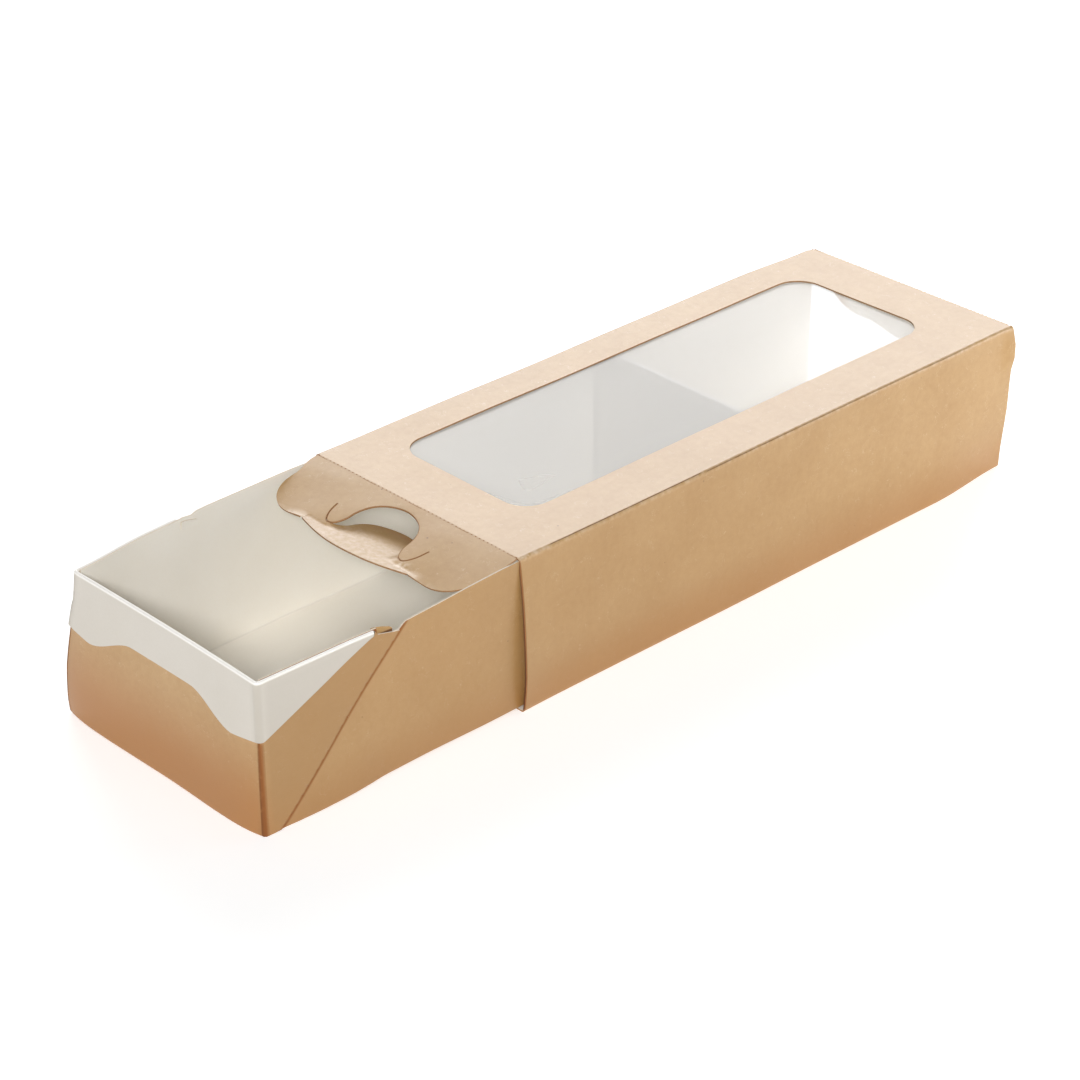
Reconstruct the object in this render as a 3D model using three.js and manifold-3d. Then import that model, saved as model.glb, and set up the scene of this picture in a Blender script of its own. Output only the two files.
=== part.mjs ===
import * as THREE from 'three';
import { mergeVertices } from 'three/addons/utils/BufferGeometryUtils.js';
import Module from 'manifold-3d';

const wasm = await Module();
wasm.setup();

// A sleeve of kraft board with a window, and a tray that slides in it, in millimetres.
// +Z is up. The tray is pulled out towards -Y. While it is built, the sleeve's near crease
// is at y = 0 and the floor at z = 0. The finished group is moved to its own origin.

const boardThickness = 0.4;
const filmThickness = 0.2;

const sleeveLength = 170;
const sleeveHalfWidth = 35.2;
const sleeveHeight = 40;
const sleeveCornerRadius = 1.1;
const creaseSetback = 0.5;
const mouthFlare = 1.7;
const mouthFlareReach = 13;

const windowLow = { x: -24.4, y: 16 };
const windowHigh = { x: 19.8, y: 154.2 };
const windowCornerRadius = 7;
const filmMargin = 5;
const filmGap = 0.1;

const trayLength = 165;
const trayFront = -74.7;
const trayFloor = 0.65;
const trayRim = 39;
const trayWallTop = 38.8;
const wallFace = 33.6;
const wallBow = 0.6;
const wallBowStart = 25;
const wallBowRun = 50;
const webThickness = 0.55;
const rimThickness = 0.35;
const fuse = 0.06;

const wingReach = 33;
const webFoot = 4;
const wingTipTop = 37.4;
const wingTipLow = 36.9;
const notchFloor = 36.5;
const notchEnd = 38.6;
const notchSlope = 5;
const hookTop = 37.5;
const hookLow = 34.6;
const hookLength = 6;
const hookDroop = 0.8;
const bridgeLength = 2.5;
const bridgeLow = 36.1;
const bridgeHigh = 37;
const notchLap = 0.3;

const rimDepthMiddle = 10.5;
const rimDepthLobe = 16;
const rimDepthCorner = 14.8;
const rimShelfHalf = 11.5;
const rimLobeAt = 24;

const nearBulge = 2.3;
const nearBulgeReach = 18;
const nearSag = 0.5;
const nearRimDent = 1.3;
const nearCornerLean = 1.6;
const nearCornerBelly = 1.6;
const nearCornerReach = 24.5;

const flapLength = 19.2;
const flapHalfWidth = 33.1;
const flapShoulderHalf = 34.8;
const flapShoulderEnd = 4.8;
const flapShoulderRun = 2.6;
const flapWingRadius = 9;
const flapHingeGap = 0.3;
const flapCurl = 16.8;
const flapFrontTilt = 4;
const flapRearTilt = 62;

const tongueLength = 22.7;
const tongueCrease = 18;
const tongueHalfWidth = 18.2;
const tongueBend = 21;
const slitGap = 0.25;
const slitTop = 3.1;
const slitFoot = { x: 16, y: 9.8 };
const slitSteps = 48;
const neckHalf = 12.6;

const kraftColour = 0xc69b6b;
const kraftPaleColour = 0xcfa982;
const whiteColour = 0xe2ddd2;
const filmColour = 0xf2f3f2;

const radians = THREE.MathUtils.degToRad;
const mix = THREE.MathUtils.lerp;

function ease(value) {
  return THREE.MathUtils.smoothstep(value, 0, 1);
}

// Solids and joins

function signedVolume(positions, index) {
  const a = new THREE.Vector3();
  const b = new THREE.Vector3();
  const c = new THREE.Vector3();
  let volume = 0;
  for (let i = 0; i < index.length; i += 3) {
    a.fromArray(positions, 3 * index[i]);
    b.fromArray(positions, 3 * index[i + 1]);
    c.fromArray(positions, 3 * index[i + 2]);
    volume += a.dot(b.cross(c)) / 6;
  }
  return volume;
}

function solidFrom(geometry) {
  geometry.deleteAttribute('normal');
  geometry.deleteAttribute('uv');
  const merged = mergeVertices(geometry);
  const vertProperties = Float32Array.from(merged.attributes.position.array);
  const triVerts = Uint32Array.from(merged.index.array);
  if (signedVolume(vertProperties, triVerts) < 0) {
    for (let i = 0; i < triVerts.length; i += 3) {
      [triVerts[i + 1], triVerts[i + 2]] = [triVerts[i + 2], triVerts[i + 1]];
    }
  }
  return new wasm.Manifold(new wasm.Mesh({ numProp: 3, vertProperties, triVerts }));
}

function geometryFrom(solid) {
  const mesh = solid.getMesh();
  const geometry = new THREE.BufferGeometry();
  geometry.setAttribute('position', new THREE.BufferAttribute(mesh.vertProperties, 3));
  geometry.setIndex(new THREE.BufferAttribute(mesh.triVerts, 1));
  geometry.computeVertexNormals();
  return geometry;
}

function join(solids) {
  return solids.reduce((whole, piece) => whole.add(piece));
}

// A sheet of board whose corners, and the points between them, are placed by a function of
// along, up and through, each from 0 to 1.
function shapedBoard(alongSteps, upSteps, place) {
  const block = new THREE.BoxGeometry(1, 1, 1, alongSteps, upSteps, 1);
  movePoints(block, (p) => {
    p.addScalar(0.5);
    p.copy(place(p.x, p.y, p.z));
  });
  return solidFrom(block);
}

function movePoints(geometry, move) {
  const spots = geometry.attributes.position;
  const spot = new THREE.Vector3();
  for (let i = 0; i < spots.count; i++) {
    spot.fromBufferAttribute(spots, i);
    move(spot);
    spots.setXYZ(i, spot.x, spot.y, spot.z);
  }
}

// Outlines

function traceRoundedRectangle(path, low, high, radius, divisions) {
  const edge = (from, to) => {
    for (let i = 1; i <= divisions; i++) {
      const part = i / divisions;
      path.lineTo(mix(from.x, to.x, part), mix(from.y, to.y, part));
    }
  };
  const left = low.x + radius;
  const right = high.x - radius;
  const bottom = low.y + radius;
  const top = high.y - radius;
  path.moveTo(left, low.y);
  edge({ x: left, y: low.y }, { x: right, y: low.y });
  path.absarc(right, bottom, radius, -Math.PI / 2, 0);
  edge({ x: high.x, y: bottom }, { x: high.x, y: top });
  path.absarc(right, top, radius, 0, Math.PI / 2);
  edge({ x: right, y: high.y }, { x: left, y: high.y });
  path.absarc(left, top, radius, Math.PI / 2, Math.PI);
  edge({ x: low.x, y: top }, { x: low.x, y: bottom });
  path.absarc(left, bottom, radius, Math.PI, 1.5 * Math.PI);
  return path;
}

// Sleeve

// The near end of the right wall has sprung outwards, most of all low down.
function flareMouth(p) {
  const height = p.z / sleeveHeight;
  const swell = height < 0.2 ? mix(0.35, 1, height / 0.2) : Math.cos((Math.PI / 1.6) * (height - 0.2));
  const reach = Math.exp(-Math.max(p.y, 0) / mouthFlareReach);
  if (p.x > 0) p.x += mouthFlare * swell * reach * ease(p.x / sleeveHalfWidth);
}

function sleeveTube() {
  const section = new THREE.Shape();
  const outerLow = { x: -sleeveHalfWidth, y: 0 };
  const outerHigh = { x: sleeveHalfWidth, y: sleeveHeight };
  traceRoundedRectangle(section, outerLow, outerHigh, sleeveCornerRadius, 5);
  const innerLow = { x: outerLow.x + boardThickness, y: boardThickness };
  const innerHigh = { x: outerHigh.x - boardThickness, y: sleeveHeight - boardThickness };
  const innerRadius = sleeveCornerRadius - boardThickness;
  section.holes.push(traceRoundedRectangle(new THREE.Path(), innerLow, innerHigh, innerRadius, 5));
  const tube = new THREE.ExtrudeGeometry(section, { depth: 1, steps: 9, bevelEnabled: false, curveSegments: 3 });
  movePoints(tube, (p) => {
    const along = p.z * p.z;
    const y = mix(creaseSetback, sleeveLength - creaseSetback, along);
    p.set(p.x, y, p.y);
    flareMouth(p);
  });
  return solidFrom(tube);
}

function windowPrism(margin, low, high) {
  const corners = [
    { x: windowLow.x - margin, y: windowLow.y - margin },
    { x: windowHigh.x + margin, y: windowHigh.y + margin },
  ];
  const outline = traceRoundedRectangle(new THREE.Shape(), ...corners, windowCornerRadius, 1);
  const prism = new THREE.ExtrudeGeometry(outline, { depth: high - low, bevelEnabled: false, curveSegments: 6 });
  prism.translate(0, 0, low);
  return solidFrom(prism);
}

function sleeve() {
  const cutter = windowPrism(0, sleeveHeight - 3 * boardThickness, sleeveHeight + boardThickness);
  return sleeveTube().subtract(cutter);
}

function windowFilm() {
  const top = sleeveHeight - boardThickness - filmGap;
  return windowPrism(filmMargin, top - filmThickness, top);
}

// Tray. The distance from either end is called inset. End is -1 at the near end and 1 at the far end.

function endY(end, inset) {
  return end < 0 ? trayFront + inset : trayFront + trayLength - inset;
}

function insetOf(y) {
  return Math.min(y - trayFront, trayFront + trayLength - y);
}

function faceX(inset) {
  return wallFace + wallBow * ease((inset - wallBowStart) / wallBowRun);
}

function foldTop(inset) {
  return mix(trayRim, wingTipTop, inset / wingReach);
}

// Handling has bellied the near end's foot, dented its rim, and leant its left corner inwards at
// the top and outwards low down.
function relax(p) {
  const inset = p.y - trayFront;
  const up = THREE.MathUtils.clamp((p.z - trayFloor) / (trayRim - trayFloor), 0, 1);
  const across = THREE.MathUtils.clamp(p.x / wallFace, -1, 1);
  const near = Math.max(0, 1 - inset / nearBulgeReach);
  const corner = ease(1 - inset / nearCornerReach) * ease((1 - across) / 2);
  const belly = 1 - Math.abs(across) ** 6;
  const leftness = 1 - ((across + 1) / 2) ** 2.5;
  p.y += near * (nearRimDent * leftness * up - nearBulge * belly * (1 - up));
  p.z -= near * nearSag * (1 - up);
  p.x += corner * mix(-nearCornerBelly, nearCornerLean, up);
  return p;
}

// Distances from an end of the tray at which the boards of a corner have their points.
const wingStations = [0, webFoot, 7, 12, 18, 24.5, wingReach];
const webStations = [...wingStations, 35, notchEnd];
const wallEndStations = [rimThickness, ...wingStations.slice(1), wingReach + notchLap, 35, notchEnd];
const wallHalfStations = [...wallEndStations, notchEnd + notchSlope, 52, 66, trayLength / 2];
const acrossSteps = 24;

function stationAt(stations, part) {
  return stations[Math.round(part * (stations.length - 1))];
}

function bothEnds(stations) {
  const mirrored = stations.slice(0, -1).map((inset) => trayLength - inset);
  return [...stations, ...mirrored.reverse()];
}

function trayFloorBoard() {
  const stations = bothEnds([...wallEndStations.slice(0, 6), trayLength / 2]);
  return shapedBoard(acrossSteps, stations.length - 1, (along, up, through) => {
    const x = mix(-wallFace, wallFace, along);
    const y = trayFront + stationAt(stations, up);
    return relax(new THREE.Vector3(x, y, trayFloor + boardThickness * through));
  });
}

function wallTopAt(inset) {
  if (inset <= wingReach) return foldTop(inset);
  if (inset <= notchEnd) return notchFloor;
  if (inset <= notchEnd + notchSlope) return mix(notchFloor, trayWallTop, (inset - notchEnd) / notchSlope);
  return trayWallTop;
}

function sideWall(side) {
  const stations = bothEnds(wallHalfStations);
  return shapedBoard(stations.length - 1, 3, (along, up, through) => {
    const y = trayFront + stationAt(stations, along);
    const inset = insetOf(y);
    const x = side * (faceX(inset) - boardThickness * through);
    return relax(new THREE.Vector3(x, y, mix(trayFloor, wallTopAt(inset), up)));
  });
}

function endWall(end) {
  return shapedBoard(acrossSteps, 3, (along, up, through) => {
    const x = mix(-wallFace, wallFace, along);
    const y = endY(end, rimThickness + boardThickness * through);
    return relax(new THREE.Vector3(x, y, mix(trayFloor, trayRim, up)));
  });
}

// The turned-out rim is shallow across the middle, deep in two lobes, and a little less at the corners.
function rimDepthAt(x) {
  const across = Math.abs(x);
  if (across < rimLobeAt) {
    return mix(rimDepthMiddle, rimDepthLobe, ease((across - rimShelfHalf) / (rimLobeAt - rimShelfHalf)));
  }
  return mix(rimDepthLobe, rimDepthCorner, (across - rimLobeAt) / (wallFace - rimLobeAt));
}

function turnedRim(end) {
  const halfWidth = wallFace + webThickness + rimThickness;
  return shapedBoard(acrossSteps, 2, (along, up, through) => {
    const x = mix(-halfWidth, halfWidth, along);
    const y = endY(end, (rimThickness + 3 * fuse) * through);
    return relax(new THREE.Vector3(x, y, mix(trayRim - rimDepthAt(x), trayRim, up)));
  });
}

// The rim runs on round the corner as a wing that narrows to a tip over the notch.
function rimWing(end, side) {
  return shapedBoard(wingStations.length - 1, 1, (along, up, through) => {
    const inset = stationAt(wingStations, along);
    const x = side * (faceX(inset) + webThickness + mix(-2 * fuse, rimThickness, through));
    const low = mix(trayRim - rimDepthCorner, wingTipLow, inset / wingReach);
    return relax(new THREE.Vector3(x, endY(end, inset), mix(low, foldTop(inset), up)));
  });
}

function webTopAt(inset) {
  if (inset <= wingReach) return foldTop(inset);
  return mix(wingTipLow, notchFloor, (inset - wingReach) / (notchEnd - wingReach));
}

// The corner of the blank is folded flat against the side wall, its crease a diagonal from the foot.
function cornerWeb(end, side) {
  return shapedBoard(webStations.length - 1, 3, (along, up, through) => {
    const inset = stationAt(webStations, along);
    const x = side * (faceX(inset) + mix(-3 * fuse, webThickness, through));
    const low = mix(trayFloor, notchFloor - notchLap, Math.max(0, inset - webFoot) / (notchEnd - webFoot));
    return relax(new THREE.Vector3(x, endY(end, inset), mix(low, webTopAt(inset), up)));
  });
}

// The web's tip passes over the notch and hooks behind the wall.
function hookTab(end, side) {
  const inner = wallFace - boardThickness;
  const tab = shapedBoard(2, 1, (along, up, through) => {
    const inset = wingReach - notchLap + hookLength * along;
    const x = side * (inner + mix(2 * fuse, -boardThickness, through));
    const top = hookTop - hookDroop * along;
    return relax(new THREE.Vector3(x, endY(end, inset), mix(hookLow, top, up)));
  });
  const bridge = shapedBoard(1, 1, (along, up, through) => {
    const inset = wingReach - notchLap + bridgeLength * along;
    const x = side * mix(inner - boardThickness, wallFace + webThickness, through);
    return relax(new THREE.Vector3(x, endY(end, inset), mix(bridgeLow, bridgeHigh, up)));
  });
  return tab.add(bridge);
}

function tray() {
  const pieces = [trayFloorBoard(), sideWall(-1), sideWall(1)];
  for (const end of [-1, 1]) {
    pieces.push(endWall(end), turnedRim(end));
    for (const side of [-1, 1]) {
      pieces.push(cornerWeb(end, side), rimWing(end, side), hookTab(end, side));
    }
  }
  return join(pieces);
}

// Flaps. A flap is drawn flat, with x across and y down from its hinge.

function shoulderCurve(outline, side, goingDown) {
  const shoulderEnd = flapShoulderEnd + flapShoulderRun;
  const wide = { x: side * flapShoulderHalf, y: flapShoulderEnd };
  const narrow = { x: side * flapHalfWidth, y: shoulderEnd };
  const pull = 0.6 * flapShoulderRun;
  if (goingDown) {
    outline.bezierCurveTo(wide.x, wide.y + pull, narrow.x, narrow.y - pull, narrow.x, narrow.y);
  } else {
    outline.bezierCurveTo(narrow.x, narrow.y - pull, wide.x, wide.y + pull, wide.x, wide.y);
  }
}

function flapOutline(withTongue) {
  const outline = new THREE.Shape();
  const wing = { x: flapHalfWidth - flapWingRadius, y: flapLength - flapWingRadius };
  outline.moveTo(-flapShoulderHalf, flapHingeGap);
  outline.lineTo(-flapShoulderHalf, flapShoulderEnd);
  shoulderCurve(outline, -1, true);
  outline.lineTo(-flapHalfWidth, wing.y);
  outline.absarc(-wing.x, wing.y, flapWingRadius, Math.PI, Math.PI / 2, true);
  outline.lineTo(-tongueHalfWidth, flapLength);
  if (withTongue) {
    outline.quadraticCurveTo(0, 2 * tongueLength - flapLength, tongueHalfWidth, flapLength);
  }
  outline.lineTo(wing.x, flapLength);
  outline.absarc(wing.x, wing.y, flapWingRadius, Math.PI / 2, 0, true);
  outline.lineTo(flapHalfWidth, flapShoulderEnd + flapShoulderRun);
  shoulderCurve(outline, 1, false);
  outline.lineTo(flapShoulderHalf, flapHingeGap);
  return outline;
}

// The slit is shaped like a capital omega: a round head, and feet that turn up at both sides.
function omegaSlit() {
  const half = [
    [slitFoot.x, slitFoot.y], [14.4, 14], [neckHalf, 15.9], [10.4, 14.4],
    [9.6, 9.4], [8, 5.7], [4.2, 3.2],
  ];
  const left = half.map(([x, y]) => new THREE.Vector2(-x, y));
  const right = half.map(([x, y]) => new THREE.Vector2(x, y));
  return new THREE.SplineCurve([...left, new THREE.Vector2(0, slitTop), ...right.reverse()]);
}

// The curve moved sideways, towards the middle of the tongue when the shift is positive.
function besideSlit(shift) {
  const slit = omegaSlit();
  const spots = [];
  for (let i = 0; i <= slitSteps; i++) {
    const way = slit.getTangent(i / slitSteps);
    const sideways = new THREE.Vector2(-way.y, way.x).multiplyScalar(shift);
    spots.push(slit.getPoint(i / slitSteps).add(sideways));
  }
  return spots;
}

function slitOutline() {
  return new THREE.Shape([...besideSlit(slitGap / 2), ...besideSlit(-slitGap / 2).reverse()]);
}

// The tongue: all that lies between the two feet of the slit and the crease, and the edge beyond it.
function tongueRegion(shrink) {
  const head = besideSlit(shrink).filter((spot) => Math.abs(spot.x) < neckHalf - shrink);
  const crease = tongueCrease + shrink;
  const beyond = 2 * tongueLength;
  const region = new THREE.Shape();
  region.moveTo(-tongueHalfWidth, crease);
  region.lineTo(-neckHalf + shrink, crease);
  for (const spot of head) region.lineTo(spot.x, spot.y);
  region.lineTo(neckHalf - shrink, crease);
  region.lineTo(tongueHalfWidth, crease);
  region.lineTo(tongueHalfWidth, beyond);
  region.lineTo(-tongueHalfWidth, beyond);
  return region;
}

// A flap isn't flat: its slope grows evenly from the hinge outwards.
const startSlope = radians(flapFrontTilt);
const slopeRate = radians(flapCurl) / tongueLength;

function reachAt(down) {
  return (Math.sin(startSlope + slopeRate * down) - Math.sin(startSlope)) / slopeRate;
}

function dropAt(down) {
  return (Math.cos(startSlope) - Math.cos(startSlope + slopeRate * down)) / slopeRate;
}

function curledBoard() {
  return shapedBoard(1, 16, (along, out, through) => {
    const down = tongueLength * 1.02 * out;
    const slope = startSlope + slopeRate * down;
    const depth = boardThickness * (through - 1);
    const x = mix(-sleeveHalfWidth, sleeveHalfWidth, along);
    return new THREE.Vector3(x, reachAt(down) + depth * Math.sin(slope), depth * Math.cos(slope) - dropAt(down));
  });
}

function punch(outline) {
  const curled = outline.getPoints(10).map((spot) => new THREE.Vector2(spot.x, reachAt(spot.y)));
  const depth = 2 * tongueLength;
  const block = new THREE.ExtrudeGeometry(new THREE.Shape(curled), { depth, bevelEnabled: false });
  block.translate(0, 0, -depth / 2);
  return solidFrom(block);
}

function frontFlap() {
  const flap = curledBoard().intersect(punch(flapOutline(false)));
  return flap.subtract(punch(tongueRegion(-slitGap / 2))).subtract(punch(slitOutline()));
}

function tongue() {
  return curledBoard().intersect(punch(flapOutline(true))).intersect(punch(tongueRegion(slitGap / 2)));
}

function rearFlap() {
  return curledBoard().intersect(punch(flapOutline(true))).subtract(punch(slitOutline()));
}

// The tongue turns about the crease that it shares with the flap, so its inner end dips below.
function bentTongue() {
  const geometry = geometryFrom(tongue());
  const y = reachAt(tongueCrease);
  const z = -dropAt(tongueCrease) - boardThickness / 2;
  geometry.translate(0, -y, -z);
  geometry.rotateX(radians(tongueBend));
  geometry.translate(0, y, z);
  return geometry;
}

// Assembly

function addMesh(group, name, geometry, colour, roughness) {
  const material = new THREE.MeshStandardMaterial({ color: colour, roughness, metalness: 0 });
  const mesh = new THREE.Mesh(geometry, material);
  mesh.name = name;
  group.add(mesh);
  return mesh;
}

const object = new THREE.Group();
addMesh(object, 'sleeve', geometryFrom(sleeve()), kraftColour, 0.75);
const film = addMesh(object, 'window_film', geometryFrom(windowFilm()), filmColour, 0.08);
film.material.transparent = true;
film.material.opacity = 0.25;
addMesh(object, 'tray', geometryFrom(tray()), whiteColour, 0.6);

const mouth = new THREE.Group();
mouth.position.set(0, 0, sleeveHeight);
mouth.rotation.z = Math.PI;
addMesh(mouth, 'front_flap', geometryFrom(frontFlap()), kraftPaleColour, 0.75);
addMesh(mouth, 'front_tongue', bentTongue(), kraftPaleColour, 0.75);
object.add(mouth);

const farEnd = new THREE.Group();
farEnd.position.set(0, sleeveLength, sleeveHeight);
farEnd.rotation.x = radians(flapFrontTilt - flapRearTilt);
addMesh(farEnd, 'rear_flap', geometryFrom(rearFlap()), kraftPaleColour, 0.75);
object.add(farEnd);

// The origin is the middle of the underside of the whole.
const whole = new THREE.Box3().setFromObject(object, true);
const centre = whole.getCenter(new THREE.Vector3());
object.position.set(-centre.x, -centre.y, -whole.min.z);

const assembly = new THREE.Group();
assembly.add(object);

export default assembly;
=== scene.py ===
import math

import bpy
import numpy as np
from mathutils import Matrix, Vector
from mathutils.geometry import delaunay_2d_cdt


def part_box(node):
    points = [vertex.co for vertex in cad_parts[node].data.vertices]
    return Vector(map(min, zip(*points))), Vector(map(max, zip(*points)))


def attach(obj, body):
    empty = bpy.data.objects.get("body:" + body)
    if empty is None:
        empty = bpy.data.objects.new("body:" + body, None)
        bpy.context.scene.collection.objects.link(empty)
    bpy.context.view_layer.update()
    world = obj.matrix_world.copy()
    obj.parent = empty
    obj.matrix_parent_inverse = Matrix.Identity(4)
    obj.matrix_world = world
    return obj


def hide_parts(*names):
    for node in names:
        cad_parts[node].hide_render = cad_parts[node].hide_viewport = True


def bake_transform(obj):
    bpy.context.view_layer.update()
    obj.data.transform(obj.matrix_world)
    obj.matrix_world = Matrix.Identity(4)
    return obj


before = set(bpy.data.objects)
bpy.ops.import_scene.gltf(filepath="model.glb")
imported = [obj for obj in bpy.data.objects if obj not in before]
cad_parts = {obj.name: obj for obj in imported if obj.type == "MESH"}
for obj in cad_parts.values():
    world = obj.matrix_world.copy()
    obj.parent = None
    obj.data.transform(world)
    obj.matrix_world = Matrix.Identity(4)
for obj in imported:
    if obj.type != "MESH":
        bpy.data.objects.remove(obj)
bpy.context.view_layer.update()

# The windowed sushi box, dressed. Lengths are in millimetres, with the sleeve's near crease at y = 0
# and the table at z = 0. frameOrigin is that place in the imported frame, which is in metres.
mm = 0.001
sleeveSize = {"length": 170, "halfWidth": 35.2, "height": 40, "setback": 0.5}
sleeveLow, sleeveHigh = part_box("sleeve")
frameOrigin = np.array([
    sleeveLow.x / mm + sleeveSize["halfWidth"],
    sleeveLow.y / mm - sleeveSize["setback"],
    0.0,
])
print("frame loaded, origin at", frameOrigin.round(2))


# Small sums

def mix(low, high, part):
    return low + (high - low) * part


def ease(value):
    part = np.clip(value, 0, 1)
    return part * part * (3 - 2 * part)


def bell(value, width):
    return np.exp(-(value / width) ** 2)


def toFrame(points):
    return (np.asarray(points, float) + frameOrigin) * mm


def waves(points, pitch, height, seed):  # the gentle waves of handled board, the same on every run
    draw = np.random.default_rng(seed)
    total = np.zeros(len(points))
    count = 7
    for _ in range(count):
        way = draw.normal(size=3)
        way /= np.linalg.norm(way)
        length = pitch * draw.uniform(0.6, 1.7)
        total += np.sin(points @ way * (2 * math.pi / length) + draw.uniform(0, 2 * math.pi))
    return height * total / math.sqrt(count)


# Outlines on the flat sheet

def arcPoints(centre, radius, start, stop, count=14):
    angles = np.radians(np.linspace(start, stop, count))
    return [(centre[0] + radius * math.cos(a), centre[1] + radius * math.sin(a)) for a in angles]


def curvePoints(a, b, c, d, count=10):
    part = np.linspace(0, 1, count)[:, None]
    a, b, c, d = (np.array(p, float) for p in (a, b, c, d))
    rest = 1 - part
    spots = a * rest ** 3 + 3 * b * part * rest ** 2 + 3 * c * part ** 2 * rest + d * part ** 3
    return [tuple(p) for p in spots]


def splinePoints(knots, steps=9):  # a smooth line through the knots
    knots = np.array(knots, float)
    last = len(knots) - 1
    spots = []
    for i in range(last):
        before, here = knots[max(i - 1, 0)], knots[i]
        there, after = knots[i + 1], knots[min(i + 2, last)]
        for part in np.arange(steps) / steps:
            slopeIn, slopeOut = (there - before) / 2, (after - here) / 2
            blendA = 2 * part ** 3 - 3 * part ** 2 + 1
            blendB = part ** 3 - 2 * part ** 2 + part
            blendC = -2 * part ** 3 + 3 * part ** 2
            blendD = part ** 3 - part ** 2
            spots.append(blendA * here + blendB * slopeIn + blendC * there + blendD * slopeOut)
    spots.append(knots[-1])
    return np.array(spots)


def densify(loop, step):  # no stretch between two points longer than step
    spots = []
    loop = np.array(loop, float)
    for a, b in zip(loop, np.roll(loop, -1, axis=0)):
        gap = np.linalg.norm(b - a)
        if gap < 1e-6:
            continue
        pieces = max(1, math.ceil(gap / step))
        spots += [a + (b - a) * i / pieces for i in range(pieces)]
    return np.array(spots)


def beside(line, shift):  # the line moved to its left
    way = np.gradient(line, axis=0)
    way /= np.linalg.norm(way, axis=1)[:, None]
    return line + shift * np.stack([-way[:, 1], way[:, 0]], axis=1)


def insideLoop(points, loop):
    x, y = points.T
    inside = np.zeros(len(points), bool)
    for (ax, ay), (bx, by) in zip(loop, np.roll(loop, -1, axis=0)):
        if ay == by:
            continue
        spans = (ay > y) != (by > y)
        inside ^= spans & (x < ax + (y - ay) * (bx - ax) / (by - ay))
    return inside


def insideOf(loop):
    return lambda points: insideLoop(points, loop)


def gapToLoops(points, loops):
    nearest = np.full(len(points), np.inf)
    for loop in loops:
        for a, b in zip(loop, np.roll(loop, -1, axis=0)):
            way = b - a
            part = np.clip((points - a) @ way / max(way @ way, 1e-12), 0, 1)
            gap = np.linalg.norm(points - a - part[:, None] * way, axis=1)
            nearest = np.minimum(nearest, gap)
    return nearest


# Sheets of board

def cutSheet(loops, keep, us, vs, clearance, extra=()):  # triangles of what keep() leaves between the loops
    grid = np.array(np.meshgrid(us, vs)).reshape(2, -1).T
    if len(extra):
        grid = np.vstack([grid, extra])
    grid = grid[keep(grid)]
    grid = grid[gapToLoops(grid, loops) > clearance]
    spots, edges = [], []
    for loop in loops:
        first = len(spots)
        spots += [tuple(p) for p in loop]
        edges += [(first + i, first + (i + 1) % len(loop)) for i in range(len(loop))]
    spots += [tuple(p) for p in grid]
    cut = delaunay_2d_cdt([Vector(p) for p in spots], edges, [], 0, 1e-6)
    flat = np.array([p[:] for p in cut[0]], float)
    faces = np.array(cut[2], int)
    a, b, c = (flat[faces[:, i]] for i in range(3))
    area = (b[:, 0] - a[:, 0]) * (c[:, 1] - a[:, 1]) - (b[:, 1] - a[:, 1]) * (c[:, 0] - a[:, 0])
    faces[area < 0] = faces[area < 0][:, ::-1]
    faces = faces[(np.abs(area) > 1e-9) & keep((a + b + c) / 3)]
    used, faces = np.unique(faces, return_inverse=True)
    return flat[used], faces.reshape(-1, 3)


def onSheet(u, v):
    return np.column_stack([u, v, np.zeros(len(u))])


def foldPath(start, heading, moves):  # straights and bends, each a length and a turn in degrees
    starts, turns, spots, headings = [], [], [], []
    spot, angle, way = np.array(start, float), math.radians(heading), 0.0
    for length, turn in moves:
        starts.append(way)
        spots.append(spot.copy())
        headings.append(angle)
        bend = math.radians(turn) / length
        turns.append(bend)
        if turn:
            spot = spot + np.array([
                (math.sin(angle + bend * length) - math.sin(angle)) / bend,
                (math.cos(angle) - math.cos(angle + bend * length)) / bend,
            ])
        else:
            spot = spot + length * np.array([math.cos(angle), math.sin(angle)])
        angle += bend * length
        way += length
    starts, turns, headings = np.array(starts), np.array(turns), np.array(headings)
    spots = np.array(spots)

    def at(distance):  # the place, and the direction to the left of travel
        index = np.clip(np.searchsorted(starts, distance, side="right") - 1, 0, len(starts) - 1)
        run, bend, angle = distance - starts[index], turns[index], headings[index]
        end = angle + bend * run
        safe = np.where(bend == 0, 1, bend)
        dx = np.where(bend == 0, run * np.cos(angle), (np.sin(end) - np.sin(angle)) / safe)
        dy = np.where(bend == 0, run * np.sin(angle), (np.cos(angle) - np.cos(end)) / safe)
        return spots[index, 0] + dx, spots[index, 1] + dy, -np.sin(end), np.cos(end)

    return at, way


def linkMesh(name, vertices, faces, materials, slots):
    mesh = bpy.data.meshes.new(name)
    mesh.from_pydata(toFrame(vertices).tolist(), [], faces)
    for material in materials:
        mesh.materials.append(material)
    mesh.polygons.foreach_set("material_index", np.array(slots, np.int32))
    mesh.polygons.foreach_set("use_smooth", np.ones(len(faces), bool))
    mesh.update()
    mesh.set_sharp_from_angle(angle=math.radians(38))
    piece = bpy.data.objects.new(name, mesh)
    bpy.context.scene.collection.objects.link(piece)
    return piece


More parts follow.
